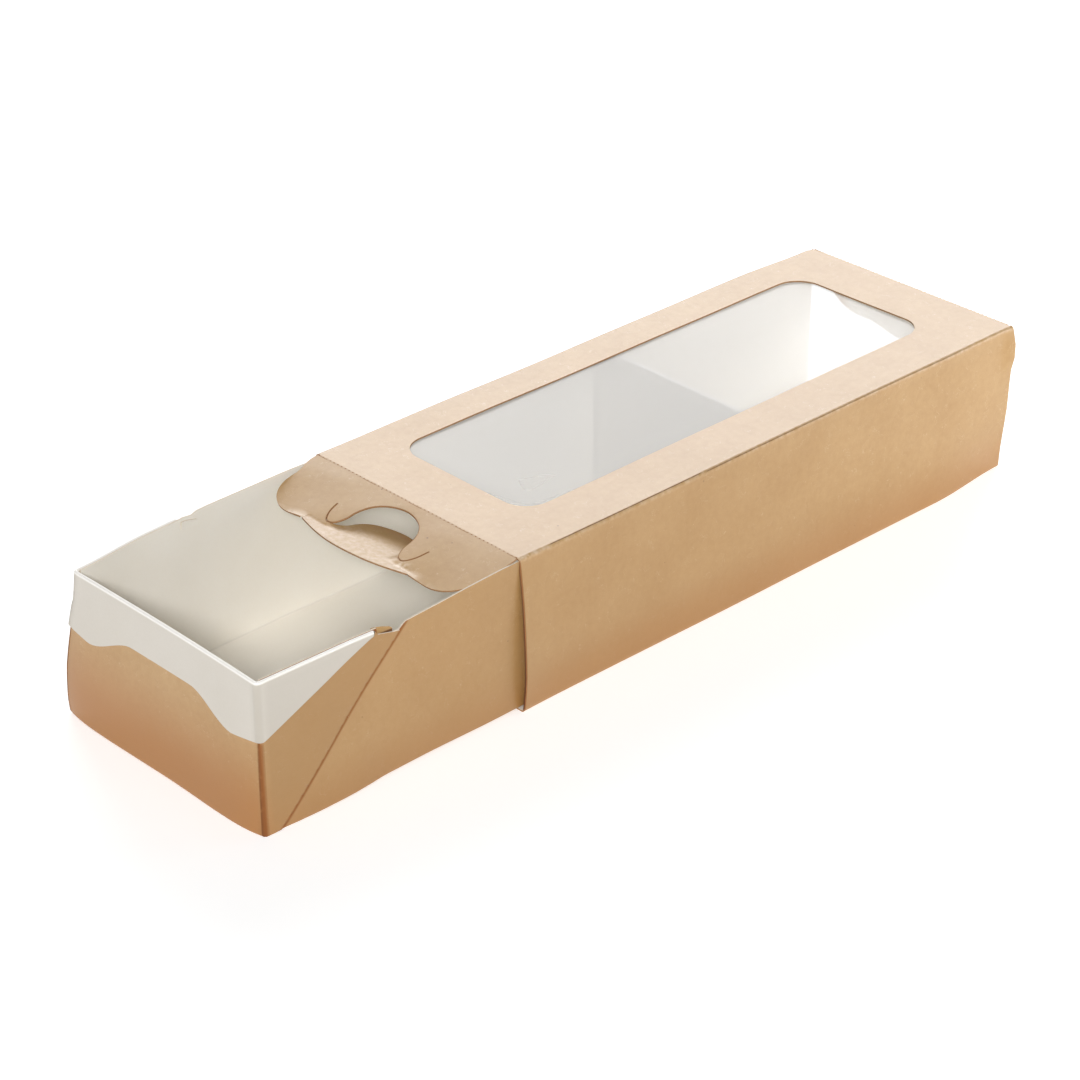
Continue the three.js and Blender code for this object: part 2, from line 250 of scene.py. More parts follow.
def boardPiece(name, sheet, fold, thickness, finishes, side=1, marks=None):
    # fold() places the outer face. Side -1 turns the sheet over. Finishes: outer, inner, cut edge.
    flat, faces = sheet
    step = 0.01
    u, v = flat.T
    outer = fold(u, v)
    acrossU = fold(u + step, v) - fold(u - step, v)
    acrossV = fold(u, v + step) - fold(u, v - step)
    normal = np.cross(acrossU, acrossV)
    normal *= side / np.linalg.norm(normal, axis=1)[:, None]
    depth = thickness(u, v)[:, None] if callable(thickness) else thickness
    inner = outer - depth * normal
    if side < 0:
        faces = faces[:, ::-1]
    count = len(flat)
    directed = np.vstack([faces[:, [0, 1]], faces[:, [1, 2]], faces[:, [2, 0]]])
    known = {(int(a), int(b)) for a, b in directed}
    rim = [(a, b) for a, b in known if (b, a) not in known]
    rim.sort()
    quads = [(b, a, a + count, b + count) for a, b in rim]
    allFaces = faces.tolist() + (faces[:, ::-1] + count).tolist() + quads
    slots = [0] * len(faces) + [1] * len(faces) + [2] * len(quads)
    piece = linkMesh(name, np.vstack([outer, inner]), allFaces, finishes, slots)
    layered = np.vstack([np.column_stack([flat, np.full(count, layer)]) for layer in (0, 7)])
    sheetPlace = piece.data.attributes.new("flatPlace", "FLOAT_VECTOR", "POINT")
    sheetPlace.data.foreach_set("vector", layered.astype(np.float32).ravel())
    for mark, values in (marks or {}).items():
        attribute = piece.data.attributes.new(mark, "FLOAT", "POINT")
        attribute.data.foreach_set("value", np.tile(values(u, v), 2).astype(np.float32))
    return piece


# Finishes

class Wire:  # one shader socket. Sums on it add their Math nodes
    def __init__(self, finish, socket):
        self.finish = finish
        self.socket = socket

    def maths(self, operation, first, second):
        return self.finish.node("ShaderNodeMath", {"operation": operation}, {0: first, 1: second})

    def __add__(self, other):
        return self.maths("ADD", self, other)

    def __radd__(self, other):
        return self.maths("ADD", other, self)

    def __sub__(self, other):
        return self.maths("SUBTRACT", self, other)

    def __rsub__(self, other):
        return self.maths("SUBTRACT", other, self)

    def __mul__(self, other):
        return self.maths("MULTIPLY", self, other)

    def __rmul__(self, other):
        return self.maths("MULTIPLY", other, self)

    def __abs__(self):
        return self.maths("ABSOLUTE", self, 0)


class Finish:  # a material being made
    def __init__(self, name):
        self.material = bpy.data.materials.new(name)
        self.material.use_nodes = True
        self.tree = self.material.node_tree
        self.tree.nodes.clear()

    def node(self, kind, settings=None, sockets=None, output=0):
        made = self.tree.nodes.new(kind)
        for key, value in (settings or {}).items():
            setattr(made, key, value)
        for key, value in (sockets or {}).items():
            if isinstance(value, Wire):
                self.tree.links.new(value.socket, made.inputs[key])
            else:
                made.inputs[key].default_value = value
        return Wire(self, made.outputs[output]) if made.outputs else None

    def attribute(self, name, output):
        return self.node("ShaderNodeAttribute", {"attribute_name": name}, output=output)

    def noise(self, place, scale, detail=3, roughness=0.55):
        sockets = {"Vector": place, "Scale": scale, "Detail": detail, "Roughness": roughness}
        return self.node("ShaderNodeTexNoise", {"noise_dimensions": "3D"}, sockets)

    def stretch(self, place, amounts):
        return self.node("ShaderNodeVectorMath", {"operation": "MULTIPLY"}, {0: place, 1: amounts})

    def spread(self, value, low, high):  # low..high becomes 0..1, clamped
        sockets = {"Value": value, "From Min": low, "From Max": high}
        return self.node("ShaderNodeMapRange", {"clamp": True}, sockets)

    def tint(self, factor, first, second):
        sockets = {"Factor": factor, 6: first, 7: second}
        return self.node("ShaderNodeMix", {"data_type": "RGBA"}, sockets, output=2)

    def surface(self, shader):
        self.node("ShaderNodeOutputMaterial", {}, {"Surface": shader})
        return self.material


def colour(red, green, blue):  # a colour as seen on screen, 0 to 255
    def linear(value):
        value /= 255
        return value / 12.92 if value <= 0.04045 else ((value + 0.055) / 1.055) ** 2.4
    return (linear(red), linear(green), linear(blue), 1)


# The deep and warm tones also paint shade, the two darkest tones also paint shadow lines, and the rubbed tone
# also paints light.
kraftLook = {
    "body": colour(179, 140, 88), "pale": colour(194, 157, 107), "deep": colour(161, 121, 71),
    "fibre": colour(222, 198, 168), "speck": colour(104, 70, 40), "stainAndShadowTone": colour(88, 44, 14),
    "darkLineAndShadow": colour(140, 84, 38), "rubbedAndLitTone": colour(240, 222, 198), "warm": colour(172, 116, 56),
    "roughness": 0.37, "specular": 0.6, "bump": 0.18,
}


def kraftFinish():
    look = kraftLook
    kraft = Finish("kraft_board_outside")
    place = kraft.attribute("flatPlace", 1)
    cloud = kraft.spread(kraft.noise(place, 0.06, 4), 0.35, 0.65)
    mottle = kraft.spread(kraft.noise(place, 0.55, 5, 0.65), 0.3, 0.7)
    grain = kraft.noise(place, 3.2, 3, 0.7)
    along = kraft.noise(kraft.stretch(place, (0.35, 2.6, 1)), 1.6, 2)
    across = kraft.noise(kraft.stretch(place, (2.6, 0.35, 1)), 1.6, 2)
    tone = kraft.tint(mottle * 0.5 + cloud * 0.45, look["body"], look["pale"])
    tone = kraft.tint(kraft.spread(grain, 0.52, 0.78) * 0.3, tone, look["deep"])
    fibres = kraft.spread(along, 0.66, 0.8) + kraft.spread(across, 0.67, 0.8)
    tone = kraft.tint(fibres * 0.3, tone, look["fibre"])
    hairs = kraft.spread(along, 0.3, 0.2) * 0.35
    tone = kraft.tint(hairs, tone, look["deep"])
    dots = kraft.node("ShaderNodeTexVoronoi", {"feature": "F1"}, {"Vector": place, "Scale": 0.16})
    chosen = kraft.spread(kraft.noise(place, 0.2, 0), 0.52, 0.6)
    tone = kraft.tint(kraft.spread(dots, 0.05, 0.025) * chosen * 0.75, tone, look["speck"])
    wrinkle = kraft.spread(abs(kraft.noise(place, 0.55, 2) - 0.5), 0.011, 0.002)
    wrinkle = wrinkle * kraft.spread(kraft.noise(place, 0.3, 1), 0.56, 0.62)
    tone = kraft.tint(wrinkle * 0.4, tone, look["fibre"])
    # painted shade: a duller brown on faces that the lamps light too strongly
    tone = kraft.tint(kraft.attribute("paintedShade", 2), tone, look["deep"])
    # rubbed wear, and painted light on the tongue
    wearAndPaintedLight = kraft.attribute("wearAndPaintedLight", 2) * kraft.spread(kraft.noise(place, 0.7, 5), 0.35, 0.65)
    tone = kraft.tint(wearAndPaintedLight, tone, look["rubbedAndLitTone"])
    tone = kraft.tint(kraft.attribute("stainAndShadowTone", 2), tone, look["stainAndShadowTone"])
    # painted shade, browner towards the feet and on the tongue's head
    tone = kraft.tint(kraft.attribute("paintedWarmShade", 2), tone, look["warm"])
    # crease lines, and a painted shadow line under the lock tabs
    scoreAndShadowLine = kraft.spread(kraft.attribute("scoreAndShadowLine", 2), 0, 0.55)
    scoreAndShadowLine = scoreAndShadowLine * kraft.spread(kraft.noise(place, 0.5, 1), 0.1, 0.45)
    tone = kraft.tint(scoreAndShadowLine * 0.85, tone, look["stainAndShadowTone"])
    # dark crease and cut lines, and painted shadow lines at the mouth gap and under the webs' edges
    darkLineAndShadow = kraft.spread(kraft.attribute("darkLineAndShadow", 2), 0, 0.7)
    tone = kraft.tint(darkLineAndShadow * 0.85, tone, look["darkLineAndShadow"])
    height = grain * 0.5 + along * 0.3 + mottle * 0.2
    bump = kraft.node("ShaderNodeBump", {}, {"Strength": look["bump"], "Distance": 0.00012, "Height": height})
    roughness = look["roughness"] - 0.08 + grain * 0.16 + (darkLineAndShadow + scoreAndShadowLine) * 0.6
    sockets = {
        "Base Color": tone, "Roughness": roughness, "Normal": bump,
        "Specular IOR Level": look["specular"],
    }
    return kraft.surface(kraft.node("ShaderNodeBsdfPrincipled", {}, sockets))


# two copies of the white coating: the inside painted lighter and the rim painted darker, for how light falls
# on them
insideLookPaintedLight = {"name": "white_coated_inside_painted_light", "body": colour(249, 245, 236), "warm": colour(245, 238, 225),
              "paintedHighlight": colour(248, 245, 239), "creaseAndPaintedShade": colour(220, 214, 203), "roughness": 0.42}
rimLookPaintedShade = {"name": "white_coated_rim_painted_shade", "body": colour(212, 206, 196), "warm": colour(205, 198, 186),
           "paintedHighlight": colour(252, 249, 243), "creaseAndPaintedShade": colour(180, 173, 161), "roughness": 0.42}


def whiteFinish(look):
    white = Finish(look["name"])
    place = white.attribute("flatPlace", 1)
    cloud = white.spread(white.noise(place, 0.05, 3), 0.35, 0.65)
    grain = white.noise(place, 1.6, 4, 0.6)
    tone = white.tint(cloud * 0.35 + white.spread(grain, 0.4, 0.8) * 0.25, look["body"], look["warm"])
    tone = white.tint(white.attribute("bare", 2), tone, kraftLook["pale"])
    # painted highlight on the rim's folded top
    tone = white.tint(white.attribute("paintedHighlight", 2), tone, look["paintedHighlight"])
    # darker crease at the rim's corner, and painted shade in the inside folds and on the rim's wings
    tone = white.tint(white.attribute("creaseAndPaintedShade", 2), tone, look["creaseAndPaintedShade"])
    # painted shadow in the gap at the sleeve's mouth
    tone = white.tint(white.attribute("gap", 2), tone, kraftLook["darkLineAndShadow"])
    height = grain * 0.4 + white.noise(place, 0.22, 2) * 1.2
    bump = white.node("ShaderNodeBump", {}, {"Strength": 0.2, "Distance": 0.0002, "Height": height})
    sockets = {"Base Color": tone, "Roughness": look["roughness"] + grain * 0.12, "Normal": bump}
    return white.surface(white.node("ShaderNodeBsdfPrincipled", {}, sockets))


def cutEdgeFinish(name, dark, light):
    edge = Finish(name)
    place = edge.attribute("flatPlace", 1)
    layers = edge.spread(edge.noise(place, 2.4, 3), 0.35, 0.7)
    tone = edge.tint(layers, dark, light)
    # painted shadow in the gap at the sleeve's mouth
    tone = edge.tint(edge.attribute("gap", 2), tone, kraftLook["stainAndShadowTone"])
    return edge.surface(edge.node("ShaderNodeBsdfPrincipled", {}, {"Base Color": tone, "Roughness": 0.8}))


filmLook = {"tint": (0.92, 0.91, 0.9, 1), "veil": 0.08, "edgeOn": 0.5, "roughness": 0.16, "specular": 0.2}


def filmFinish():
    look = filmLook
    film = Finish("clear_window_film")
    facing = film.node("ShaderNodeLayerWeight", {}, {"Blend": 0.35}, output=1)
    sockets = {
        "Base Color": look["tint"], "Roughness": look["roughness"], "IOR": 1.46,
        "Specular IOR Level": look["specular"], "Alpha": look["veil"] + facing * look["edgeOn"],
    }
    return film.surface(film.node("ShaderNodeBsdfPrincipled", {}, sockets))


kraftOutside = kraftFinish()
whiteInsidePaintedLight = whiteFinish(insideLookPaintedLight)
whiteRimPaintedShade = whiteFinish(rimLookPaintedShade)
cutEdge = cutEdgeFinish("cut_edge_of_board", colour(150, 108, 68), colour(186, 146, 104))
# the tray's cut edges are painted pale as a highlight
paintedHighlightCutEdge = cutEdgeFinish("tray_cut_edge_painted_highlight", colour(222, 206, 184), colour(240, 230, 215))
clearFilm = filmFinish()
boardFinishes = [kraftOutside, whiteInsidePaintedLight, cutEdge]
trayFinishes = [kraftOutside, whiteInsidePaintedLight, paintedHighlightCutEdge]
endFinishes = [kraftOutside, whiteRimPaintedShade, paintedHighlightCutEdge]
print("finishes made")


# Sleeve

sleeveLook = {
    "thickness": 0.4, "crease": 0.8, "seamGap": 0.35, "seamX": -33.6,
    "windowLow": (-24.4, 16), "windowHigh": (19.8, 154.2), "windowRadius": 7,
    "hingeStrip": 0.4, "hingeHalf": 34.4,
    "flare": 1.7, "flareReach": 13, "topTuck": 0.35, "leftSwell": 0.45, "leftReach": 45,
    "narrowFrom": 143, "narrowing": 0.028, "topRise": 0.95, "footSpread": 0.5,
    "farHeights": (0, 1.2, 5, 11, 17, 23, 27, 40), "farRight": (32.9, 33, 33.2, 33.9, 34.6, 34.9, 35, 34.9),
    "lipHeights": (27, 29.5, 31.3, 33, 34.8, 37.2, 40), "lipOut": (0, 0.45, 1.05, 1.45, 1.35, 0.85, 0.1),
    "roundFrom": (-31.7, 167.2),
    "wave": 0.1, "wavePitch": 46,
}


def creaseRows(centre, half, count=7):
    return list(centre + np.linspace(-half, half, count))


def sleeveSection():
    look, size = sleeveLook, sleeveSize
    radius = look["crease"]
    quarter = radius * math.pi / 2
    side = size["height"] - 2 * radius
    top = 2 * (size["halfWidth"] - radius)
    cornerX = -size["halfWidth"] + radius
    lip = 0.25
    bottom = size["halfWidth"] - radius - (look["seamX"] + look["seamGap"] - lip)
    moves = [(lip, 0), (quarter, -90), (side, 0), (quarter, -90), (top, 0), (quarter, -90)]
    moves += [(side, 0), (quarter, -90), (bottom, 0)]
    at, total = foldPath((cornerX + lip, 0), 180, moves)
    bends, way = [], 0
    for length, turn in moves:
        if turn:
            bends.append(way + length / 2)
        way += length
    topStart = lip + quarter + side + quarter
    return at, total, bends, quarter, topStart, cornerX


def topRise(x, y):  # the top panel has warped up towards its far right corner
    return sleeveLook["topRise"] * ease(y / 130) * np.clip((x + 30) / 65, 0, 1)


def roundFarCorner(x, y, z):  # the far left corner is knocked round
    cornerX, cornerY = sleeveLook["roundFrom"]
    dx, dy = np.minimum(x - cornerX, 0), np.maximum(y - cornerY, 0)
    straight = np.maximum(np.abs(dx), dy)
    scale = np.where((dx < 0) & (dy > 0), straight / np.maximum(np.hypot(dx, dy), 1e-6), 1)
    pull = (scale - 1) * ease((z - 22) / 14)
    return x + dx * pull, y + dy * pull


def towardsFar(y):  # 0 where the sleeve starts to narrow, 1 at its far mouth
    start = sleeveLook["narrowFrom"]
    return ease((y - start) / (sleeveSize["length"] - start))


def sleeveFold(u, v):
    look, size = sleeveLook, sleeveSize
    x, z, outX, outZ = sleeveAt(u)
    spots = np.column_stack([x, v, z])
    swell = waves(spots, look["wavePitch"], look["wave"], 5) * ease(np.minimum(v, size["length"] - v) / 9)
    x, z = x + outX * swell, z + outZ * swell * ease((z - 1) / 2)
    height = z / size["height"]
    rise = np.where(height < 0.2, mix(0.35, 1, height / 0.2), np.cos(math.pi / 1.6 * (height - 0.2)))
    near = np.exp(-np.maximum(v, 0) / look["flareReach"])
    right = ease(x / size["halfWidth"])
    x = x + look["flare"] * rise * near * right
    x = x - look["topTuck"] * near * right * ease((z - 28) / 12)
    x = x - look["leftSwell"] * np.exp(-np.maximum(v, 0) / look["leftReach"]) * ease(-x / size["halfWidth"])
    rightHalf = np.interp(z, look["farHeights"], look["farRight"]) / size["halfWidth"]
    x = x * mix(1, np.where(x > 0, rightHalf, 1 - look["narrowing"]), towardsFar(v))
    lip = np.interp(z, look["lipHeights"], look["lipOut"]) * ease((v - 165.6) / 4.4)
    x = x + np.where(x > 30, lip, 0) + look["footSpread"] * right * ease(1 - z / 9) * bell(v - 45, 50)
    z = z + topRise(x, v) * z / size["height"]
    x, y = roundFarCorner(x, v, z)
    return np.column_stack([x, y, z])


def sleeveMarks(u, v):  # rubbed creases
    near = np.zeros_like(u)
    for bend, worn in zip(sleeveBends, (0.12, 0.3, 0.3, 0.12)):
        near = np.maximum(near, bell(u - bend, sleeveQuarter * 0.5) * (worn + 0.6 * np.exp(-v / 6)))
    return near


def creaseCrack(u, v):  # a thin line along the right crease, with a step in it
    step = 59
    shift = np.where(v < step, 0.3, 0.05)
    length = ease((v - 9.5) / 0.6) * (1 - bell(v - step, 1)) * ease((158 - v) / 15)
    return (0.7 - np.abs(u - sleeveBends[2] + shift) / 0.24) * length * mix(1, 0.6, ease((v - step) / 70))


def onRightSide(u):
    return ease((u - sleeveBends[2] + 0.5) / 2) * ease((sleeveBends[3] - u) / 1)


def mouthGapShadow(u, v):  # painted shadow in the gap at the right wall's near mouth, darker towards its foot
    down = (u - sleeveBends[2]) / (sleeveBends[3] - sleeveBends[2])
    return onRightSide(u) * mix(0.6, 1, np.clip(down, 0, 1)) * ease((2.5 - v) / 1.5)


# painted shadow line at the right edge of the near mouth
def mouthShadowLine(u, v):
    return onRightSide(u) * (1.2 - v / 0.5)


def paintedSideShade(u, v):  # painted shade: the right side is a duller brown towards the near end and the foot
    foot = ease(1 - np.abs(u - sleeveBends[3]) / 20)
    return onRightSide(u) * (mix(0.3, 0, ease((v - 20) / 130)) + 0.35 * foot)


def paintedFootShade(u, v):  # painted shade, browner towards the foot
    depth = np.minimum(np.abs(u - sleeveBends[3]), np.abs(u - sleeveBends[0]))
    return 0.45 * ease(1 - depth / 15)


sleeveAt, sleeveGirth, sleeveBends, sleeveQuarter, topStart, topLeftX = sleeveSection()


def buildSleeve():
    look, size = sleeveLook, sleeveSize
    toU = topStart - topLeftX  # on the top panel, u = x + toU
    us = list(np.linspace(0, sleeveGirth, 60))
    for bend in sleeveBends:
        us = [u for u in us if abs(u - bend) > sleeveQuarter]
        us += creaseRows(bend, sleeveQuarter / 2, 9) + creaseRows(bend, sleeveQuarter * 0.85, 2)
    hingeEnds = [toU - look["hingeHalf"], toU + look["hingeHalf"]]
    us = np.array(sorted(us + hingeEnds + [h + 0.001 * s for h, s in zip(hingeEnds, (-1, 1))]))
    us = us[(us >= 0) & (us <= sleeveGirth)]
    vs = [0, 0.5, 1.2, 2.6, 4.5, 7, 9.5, 10.1, 13.5] + list(np.linspace(18, 56, 14))
    vs += [57.6, 58.6, 59.4, 60.4] + list(np.linspace(63, 152, 31))
    vs = np.array(vs + [156, 160, 163, 165.6, 166.4, 167.2, 168, 168.8, 169.4, 170])
    onTop = (us > hingeEnds[0] - 0.0005) & (us < hingeEnds[1] + 0.0005)
    nearEnd = np.where(onTop, look["hingeStrip"], 0)
    farEnd = np.where(onTop, size["length"] - look["hingeStrip"], size["length"])
    low = np.column_stack([us, nearEnd])
    high = np.column_stack([us, farEnd])[::-1]
    sideRows = vs[1:-1]
    right = np.column_stack([np.full(len(sideRows), us[-1]), sideRows])
    left = np.column_stack([np.full(len(sideRows), us[0]), sideRows])[::-1]
    outline = np.vstack([low, right, high, left])
    (lowX, lowY), (highX, highY), radius = look["windowLow"], look["windowHigh"], look["windowRadius"]
    corners = [
        arcPoints((highX - radius, highY - radius), radius, 0, 90),
        arcPoints((lowX + radius, highY - radius), radius, 90, 180),
        arcPoints((lowX + radius, lowY + radius), radius, 180, 270),
        arcPoints((highX - radius, lowY + radius), radius, 270, 360),
    ]
    window = densify(sum(corners, []), 3) + (toU, 0)

    def keep(points):
        return insideLoop(points, outline) & ~insideLoop(points, window)

    sheet = cutSheet([outline, window], keep, us, vs, 0.25)
    marks = {"wearAndPaintedLight": sleeveMarks, "scoreAndShadowLine": creaseCrack, "gap": mouthGapShadow, "darkLineAndShadow": mouthShadowLine,
             "paintedWarmShade": paintedFootShade, "paintedShade": paintedSideShade}
    piece = boardPiece("sleeve_board", sheet, sleeveFold, look["thickness"], boardFinishes, 1, marks)
    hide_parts("sleeve")
    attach(piece, "sleeve")
    return piece


buildSleeve()

glueTab = {"width": 13, "low": 0.42, "thickness": 0.2, "bevel": 5, "margin": 1.5}


def buildGlueTab():  # the long tab inside, under the seam
    look, size = glueTab, sleeveSize
    start = -size["halfWidth"] + 0.75
    corners = [
        (start, look["margin"]), (start + look["width"], look["margin"] + look["bevel"]),
        (start + look["width"], size["length"] - look["margin"] - look["bevel"]),
        (start, size["length"] - look["margin"]),
    ]
    outline = densify(corners, 5)

    def fold(u, v):
        tuck = towardsFar(v) * (1 + size["halfWidth"] * sleeveLook["narrowing"])
        return np.column_stack([u + tuck, v, np.full(len(u), look["low"])])

    us = np.linspace(start, start + look["width"], 6)
    sheet = cutSheet([outline], insideOf(outline), us, np.linspace(0, size["length"], 30), 0.5)
    piece = boardPiece("sleeve_glue_tab", sheet, fold, look["thickness"], boardFinishes, -1)
    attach(piece, "sleeve")


buildGlueTab()

filmSheet = {"margin": 5, "top": 39.5, "thickness": 0.12, "sag": 0.05}


def buildFilm():
    look = filmSheet
    (lowX, lowY), (highX, highY) = sleeveLook["windowLow"], sleeveLook["windowHigh"]
    lowX, lowY, highX, highY = (lowX - look["margin"], lowY - look["margin"],
                                highX + look["margin"], highY + look["margin"])
    outline = densify([(lowX, lowY), (highX, lowY), (highX, highY), (lowX, highY)], 4)

    def fold(u, v):
        flat = onSheet(u, v)
        rim = np.minimum(np.minimum(u - lowX, highX - u), np.minimum(v - lowY, highY - v))
        slack = ease((rim - look["margin"]) / 8)
        height = look["top"] - look["sag"] * slack * (1 + waves(flat, 38, 0.6, 21)) + topRise(u, v)
        return np.column_stack([u, v, height])

    us, vs = np.linspace(lowX, highX, 28), np.linspace(lowY, highY, 60)
    sheet = cutSheet([outline], insideOf(outline), us, vs, 0.4)
    piece = boardPiece("film_sheet", sheet, fold, look["thickness"], [clearFilm] * 3)
    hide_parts("window_film")
    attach(piece, "sleeve")


buildFilm()
print("sleeve, glue tab and film made")


# Tray

trayLook = {
    "length": 165, "front": -74.7, "floor": 0.65, "rim": 39, "wallTop": 38.8,
    "face": 33.6, "bow": 0.6, "bowStart": 25, "bowRun": 50, "footRadius": 0.9, "thickness": 0.4,
    "wingReach": 33, "wingTipTop": 37.4, "notchFloor": 36.5, "notchEnd": 38.6, "notchSlope": 5,
    "bulge": 1.6, "bulgeReach": 18, "sag": 0.6, "rimDent": 1.3, "pushed": 0.8,
    "cornerLean": 0.7, "cornerBelly": 2.6, "cornerReach": 24.5, "footBelly": 1.5, "footSag": 0.5,
    "edgeHeights": (0.3, 3, 5.6, 10, 13, 18, 23.6, 28, 29.6, 31, 35, 39),
    "edgeBelly": (0, -0.8, -1.2, -1.5, -1.5, -1, -0.2, 0.5, 0.9, 1.4, 1.7, 1.7),
    "spread": 0.75, "spreadStart": 20, "spreadRun": 22,
    "rightTops": ((32, 37.1), (35, 36.6), (38.9, 36), (40.9, 37.5), (45, 37.8), (51, 38.2), (57, 38.7),
                  (63, 39.1), (69, 39.4), (75, 39.4)),
    "leftTops": ((33, 39.2), (35.9, 38.8), (37.2, 39.3), (41, 39.4), (50, 39.4), (65, 39.4), (75, 39.2)),
    "wingTops": (39.2, 38.95),
    "wave": 0.1, "wavePitch": 40,
}


def foldTop(inset, x):  # the webs' folded tops, left and right
    left, right = trayLook["wingTops"]
    tip = np.where(x < 0, left, right)
    return mix(trayLook["rim"], tip, np.clip(inset / trayLook["wingReach"], 0, 1.3))


def faceX(inset):
    return trayLook["face"] + trayLook["bow"] * ease((inset - trayLook["bowStart"]) / trayLook["bowRun"])


def relaxTray(x, y, z):  # the handled near end: bellied foot, dented rim, leaning left corner
    look = trayLook
    inset = y - look["front"]
    up = np.clip((z - look["floor"]) / (look["rim"] - look["floor"]), 0, 1)
    across = np.clip(x / look["face"], -1, 1)
    near = np.clip(1 - inset / look["bulgeReach"], 0, 1.05)
    corner = ease(1 - inset / look["cornerReach"]) * ease((1 - across) / 2)
    belly = 1 - np.abs(across) ** 6
    leftness = 1 - ((across + 1) / 2) ** 2.5
    y = y + near * (look["rimDent"] * leftness * up - look["bulge"] * belly * (1 - up) - look["pushed"])
    z = z - near * look["sag"] * (1 - up)
    rightFoot = (1 - up) ** 2 * ease(across / 0.9)
    y = y - 0.5 * rightFoot * ease(1 - inset / 10)
    x = x - 0.3 * near * ease(across) + look["footBelly"] * rightFoot * bell(inset - 19, 16)
    x = x + 0.6 * rightFoot * ease((35 - inset) / 10)
    z = np.maximum(z - look["footSag"] * rightFoot * ease(1 - inset / 60), np.minimum(z, 0.05))
    x = x + corner * mix(-look["cornerBelly"], look["cornerLean"], up)
    x = x + corner * np.interp(z, look["edgeHeights"], look["edgeBelly"])
    fromEnd = np.minimum(inset, look["length"] - inset)
    fade = mix(1, 0.4, ease((inset - 60) / 25))
    x = x + across * look["spread"] * ease((fromEnd - look["spreadStart"]) / look["spreadRun"]) * fade
    return np.column_stack([x, y, z])


def insetOf(y):
    return np.minimum(y - trayLook["front"], trayLook["front"] + trayLook["length"] - y)


def wallTopAt(inset, x):
    look = trayLook
    right = np.interp(inset, *zip(*look["rightTops"]))
    left = np.interp(inset, *zip(*look["leftTops"]))
    return np.where(inset <= look["wingReach"], foldTop(inset, x) - 0.12, np.where(x < 0, left, right))


trayRadius = trayLook["footRadius"]
trayQuarter = trayRadius * math.pi / 2
trayFlat = 2 * (trayLook["face"] - trayRadius)
trayWallRun = trayLook["rim"] - trayLook["floor"] - trayRadius
trayAt, trayGirth = foldPath(
    (trayLook["face"], trayLook["rim"]), -90,
    [(trayWallRun, 0), (trayQuarter, -90), (trayFlat, 0), (trayQuarter, -90), (trayWallRun, 0)],
)


def shellFold(u, v):  # u = 0 in the middle of the floor, and runs up the left wall
    look = trayLook
    x, z, outX, outZ = trayAt(u + trayGirth / 2)
    inset = insetOf(v)
    x = x * faceX(inset) / look["face"]
    swell = waves(np.column_stack([x, v, z]), look["wavePitch"], look["wave"], 11)
    fade = ease((z - look["floor"]) / 6) * ease((inset - 34) / 14)
    x = x + outX * (swell * fade)
    return relaxTray(x, v, z)


def buildTrayShell():
    look = trayLook
    top = trayGirth / 2 - look["rim"]
    start, stop = look["front"] + 1.4, look["front"] + look["length"] - 1.4
    halfRows = [1.4, 3, 5, 8, 12, 16, 20, 24.5, 29, 32.9, 33.05, 34.5, 35.9, 37.4, 38.2, 39, 39.7, 40.4]
    halfRows += [41.1, 43, 46] + list(np.linspace(50, 82.5, 13))
    rows = np.array(halfRows + [look["length"] - r for r in halfRows[-2::-1]]) + look["front"]
    insets = insetOf(rows)
    rightTop = np.column_stack([-top - wallTopAt(insets, 1), rows])
    leftTop = np.column_stack([top + wallTopAt(insets, -1), rows])[::-1]
    edge = trayGirth / 2
    us = list(np.linspace(-edge, edge, 62))
    bends = [-(trayFlat + trayQuarter) / 2, (trayFlat + trayQuarter) / 2]
    for bend in bends:
        us = [u for u in us if abs(u - bend) > trayQuarter]
        us += creaseRows(bend, trayQuarter / 2, 8) + creaseRows(bend, trayQuarter * 0.9, 2)
    us = np.array(sorted(us))
    within = us[np.abs(us) < top + look["rim"] - 0.5]
    farEdge = np.column_stack([within, np.full(len(within), stop)])
    nearEdge = np.column_stack([within, np.full(len(within), start)])[::-1]
    outline = np.vstack([rightTop, farEdge, leftTop, nearEdge])

    def darkLineAndShadow(u, v):  # painted shadow line just below each web's edge, 1 at the edge and 0 at its width
        past = insetOf(v) - endLook["webStart"] - (np.abs(u) - top)
        return 1 - past * math.sqrt(0.5) / endLook["lineWidth"]

    def paintedWarmShade(u, v):  # painted shade, browner towards the foot
        return 0.4 * ease((15 - (np.abs(u) - top)) / 20)

    # painted shade on both walls, deeper towards the foot
    def paintedShade(u, v):
        return 0.45 + 0.3 * ease((15 - (np.abs(u) - top)) / 15)

    def creaseAndPaintedShade(u, v):  # painted shade in the folds at the foot, seen inside
        return 0.5 * bell(np.abs(u) - (trayFlat + trayQuarter) / 2, 0.5)

    sheet = cutSheet([outline], insideOf(outline), us, rows, 0.12)
    marks = {"darkLineAndShadow": darkLineAndShadow, "paintedWarmShade": paintedWarmShade, "paintedShade": paintedShade, "creaseAndPaintedShade": creaseAndPaintedShade}
    piece = boardPiece("tray_body", sheet, shellFold, look["thickness"], trayFinishes, 1, marks)
    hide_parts("tray")
    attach(piece, "tray")


endLook = {
    "thickness": 0.35, "foldRadius": 0.1, "cornerRadius": 0.7, "footRadius": 0.9, "footLip": 0.6,
    "wallInset": 0.42, "webOut": 0.42, "webStart": 3.6, "webEdgeRadius": 0.45,
    "webTip": 39, "webTipTop": 36.2, "lineWidth": 0.8,
    "rimMiddle": 10.5, "rimLobe": 15.9, "rimCorner": 14.8, "rimShelfHalf": 10.5, "rimLobeAt": 25.5,
    "wingTipLow": 37.4, "wingTipStart": 30.4,
}
buildTrayShell()

